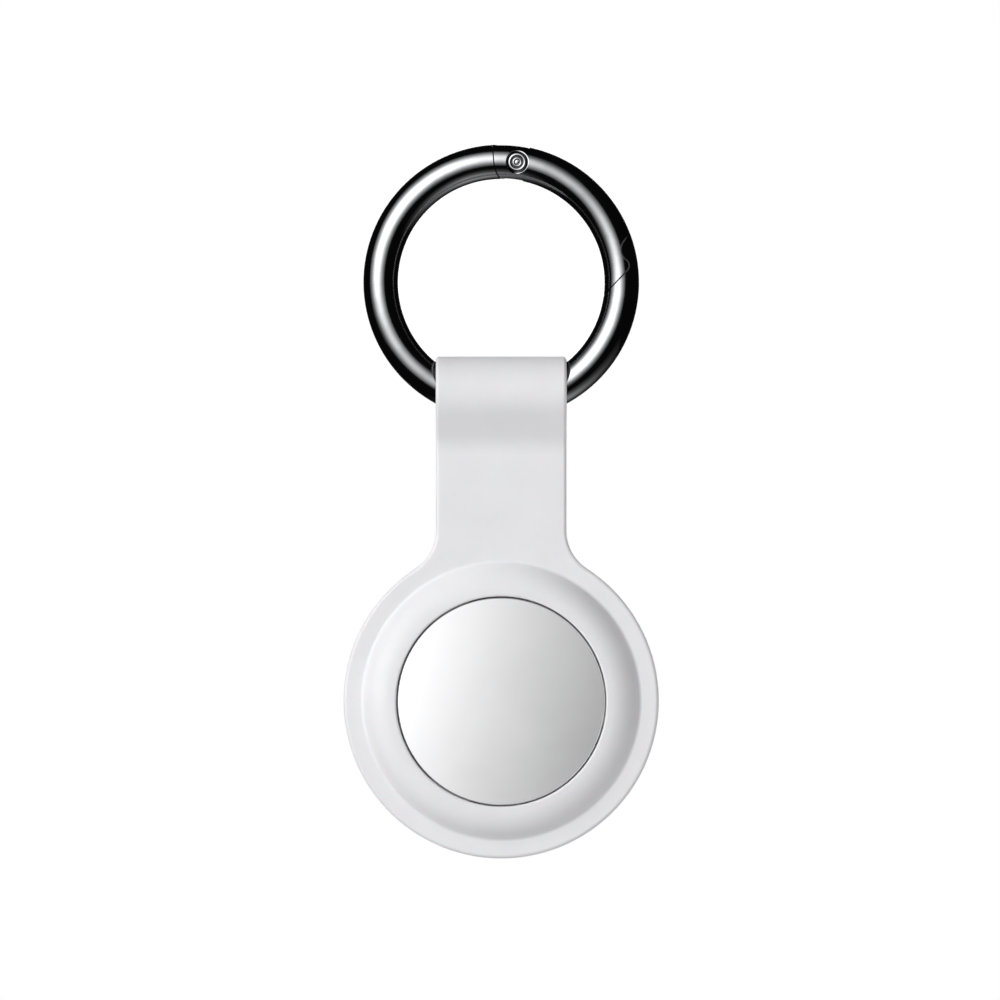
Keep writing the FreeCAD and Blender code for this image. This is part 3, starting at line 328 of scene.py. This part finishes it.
# Ring frame whose tongue keeps inside the round wire at its root
ring_body = stand_in("ring_body", "ring_frame", "ring")
for vertex in ring_body.data.vertices:
    wire_middle = Vector((vertex.co.x, 0, vertex.co.z)).normalized() * RING_RADIUS
    outward = vertex.co - wire_middle
    if outward.length > WIRE_RADIUS:
        vertex.co = wire_middle + outward.normalized() * WIRE_RADIUS

# Rivet with flatter dots in the middle of its heads
rivet = stand_in("rivet", "pivot_rivet", "ring")
dots = [vertex for vertex in rivet.data.vertices
        if math.hypot(vertex.co.x - PIVOT.x, vertex.co.z - PIVOT.z) < DOT_RADIUS]
dot_foot = min(abs(vertex.co.y) for vertex in dots)
for vertex in dots:
    height = dot_foot + (abs(vertex.co.y) - dot_foot) * DOT_HEIGHT_SHARE
    vertex.co.y = math.copysign(height, vertex.co.y)

# Copy of the coil spring with a mesh of its own
coil = stand_in("gate_coil", "gate_spring", "gate")
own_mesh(coil)


# Camera square to the front of the holder
def look(item, place, target):
    item.location = place
    item.rotation_euler = (Vector(target) - Vector(place)).to_track_quat("-Z", "Y").to_euler()


FRAME_WIDTH = 121.95 * MM
CAMERA_DISTANCE = 0.8
SENSOR_WIDTH = 36
camera_data = bpy.data.cameras.new("camera")
camera_data.sensor_width = SENSOR_WIDTH
camera_data.lens = SENSOR_WIDTH * CAMERA_DISTANCE / FRAME_WIDTH
camera = bpy.data.objects.new("camera", camera_data)
bpy.context.scene.collection.objects.link(camera)
look(camera, AIM + Vector((0, -CAMERA_DISTANCE, 0)), AIM)
bpy.context.scene.camera = camera

# Stage: a pale floor far below and a white wall all round, which only the camera sees
FLOOR_LEVEL = -0.36
FLOOR_COLOUR = (0.86, 0.86, 0.86, 1)
FLOOR_SIDES = 96
WALL_SEGMENTS = 64
WALL_RINGS = 32
STAGE_RADIUS = 2.9
STAGE_ROUGHNESS = 0.9
floor_paint = Paint("pale_floor")
floor_paint.set(Base_Color=FLOOR_COLOUR, Roughness=STAGE_ROUGHNESS)
bpy.ops.mesh.primitive_circle_add(vertices=FLOOR_SIDES, radius=STAGE_RADIUS, fill_type="NGON",
                                  location=(0, 0, FLOOR_LEVEL))
floor = bpy.context.object
floor.name = "floor"
floor.data.materials.append(floor_paint.material)

wall_paint = Paint("white_wall")
wall_paint.set(Base_Color=(0, 0, 0, 1), Roughness=STAGE_ROUGHNESS, Specular_IOR_Level=0.0,
               Emission_Color=(1, 1, 1, 1), Emission_Strength=1.0)
bpy.ops.mesh.primitive_uv_sphere_add(segments=WALL_SEGMENTS, ring_count=WALL_RINGS, radius=STAGE_RADIUS)
wall = bpy.context.object
wall.name = "wall"
wall.data.materials.append(wall_paint.material)

for item in (floor, wall):
    item.visible_diffuse = False
    item.visible_glossy = False
    item.visible_transmission = False
    item.visible_shadow = False

# Groups of pieces that a light is kept to
RING_PIECES = ("ring_frame", "gate_arm", "pivot_rivet", "spring_plunger", "gate_spring")
LIT = {
    "ring": [nodes[name] for name in RING_PIECES] + [ring_body, rivet, coil],
    "cover": [nodes["battery_cover"]],
    "sleeve": [nodes["holder_sleeve"]],
    "tag": [item for name, item in nodes.items()
            if name not in (*RING_PIECES, "battery_cover", "holder_sleeve")],
    "floor": [floor],
}
LIT["white"] = LIT["sleeve"] + LIT["tag"]
GROUPS = {}
for lit, members in LIT.items():
    GROUPS[lit] = bpy.data.collections.new(f"{lit}_lit")
    for member in members:
        GROUPS[lit].objects.link(member)

# Lights: soft boxes, each aimed at the middle of the object. Distances are in metres, and a box reaches
# this many deviations of its bell curve from its middle, up to the widest angle in degrees.
NEAR = 0.85
FAR = 2.4
BELL_REACH = 2.6
WIDEST_ANGLE = 64
BOX_MIDDLE = (0.5, 0.5, 0)


def soft_box(name, lit, azimuth, elevation, radiance, spread, distance=NEAR, blockers=None, glossy=True):
    """Square light that fades from its middle as a bell curve. The azimuth runs to the right from the
    front, and the spread is the bell curve's deviation, in degrees."""
    turn, rise, bell = (math.radians(angle) for angle in (azimuth, elevation, spread))
    way = Vector((math.sin(turn) * math.cos(rise), -math.cos(turn) * math.cos(rise), math.sin(rise)))
    size = 2 * distance * math.tan(min(BELL_REACH * bell, math.radians(WIDEST_ANGLE)))
    data = bpy.data.lights.new(name, "AREA")
    data.shape = "SQUARE"
    data.size = size
    data.energy = radiance * math.pi * size ** 2
    data.use_nodes = True
    tree = data.node_tree

    def step(operation, first, second=0.0):
        made = tree.nodes.new("ShaderNodeMath")
        made.operation = operation
        tree.links.new(first, made.inputs[0])
        made.inputs[1].default_value = second
        return made.outputs[0]

    from_middle = tree.nodes.new("ShaderNodeVectorMath")
    from_middle.operation = "DISTANCE"
    tree.links.new(tree.nodes.new("ShaderNodeNewGeometry").outputs["Parametric"], from_middle.inputs[0])
    from_middle.inputs[1].default_value = BOX_MIDDLE
    angle = step("ARCTANGENT", step("MULTIPLY", from_middle.outputs["Value"], size / distance))
    fade = step("EXPONENT", step("MULTIPLY", step("POWER", step("DIVIDE", angle, bell), 2), -0.5))
    tree.links.new(fade, tree.nodes["Emission"].inputs["Strength"])
    item = bpy.data.objects.new(name, data)
    bpy.context.scene.collection.objects.link(item)
    look(item, AIM + way * distance, AIM)
    item.visible_camera = False
    item.visible_glossy = glossy
    item.light_linking.receiver_collection = GROUPS[lit]
    if blockers:
        item.light_linking.blocker_collection = GROUPS[blockers]


# Name, group, azimuth, elevation, radiance and spread
soft_box("ring_key", "ring", -25.5, 21, 11.0, 18.5)
soft_box("ring_low", "ring", 105, -72, 1.5, 18, blockers="ring")
soft_box("ring_back", "ring", 180, 6, 4.0, 12)
soft_box("cover_key", "cover", -29, 5, 2.96, 19.5)
soft_box("cover_back", "cover", 160, 12, 2.5, 20)
soft_box("cover_low", "cover", 0, -80, 0.7, 32)
soft_box("cover_top", "cover", 0, 80, 0.7, 32)
soft_box("sleeve_key", "sleeve", -60, 15, 5.9, 15, distance=FAR, blockers="ring")
soft_box("tag_key", "tag", -60, 15, 5.9, 15, distance=FAR)
soft_box("white_top", "white", 0, 28, 1.5, 26)
soft_box("white_low", "white", 40, -60, 1.2, 26)
soft_box("sleeve_back", "sleeve", 160, 0, 3.4, 26, glossy=False)
soft_box("tag_back", "tag", 160, 12, 2.4, 26)

# Light on the floor from straight above
FLOOR_LIGHT = 3.5
FLOOR_LIGHT_ANGLE = 40
sun_data = bpy.data.lights.new("floor_light", "SUN")
sun_data.energy = FLOOR_LIGHT
sun_data.angle = math.radians(FLOOR_LIGHT_ANGLE)
sun = bpy.data.objects.new("floor_light", sun_data)
bpy.context.scene.collection.objects.link(sun)
sun.light_linking.receiver_collection = GROUPS["floor"]

# Faint light from all round
WORLD_LIGHT = 0.01
world = bpy.data.worlds.new("world")
world.use_nodes = True
background = world.node_tree.nodes["Background"]
background.inputs["Color"].default_value = (1, 1, 1, 1)
background.inputs["Strength"].default_value = WORLD_LIGHT
bpy.context.scene.world = world
bpy.context.scene.view_settings.view_transform = "Standard"
bpy.context.scene.view_settings.look = "None"
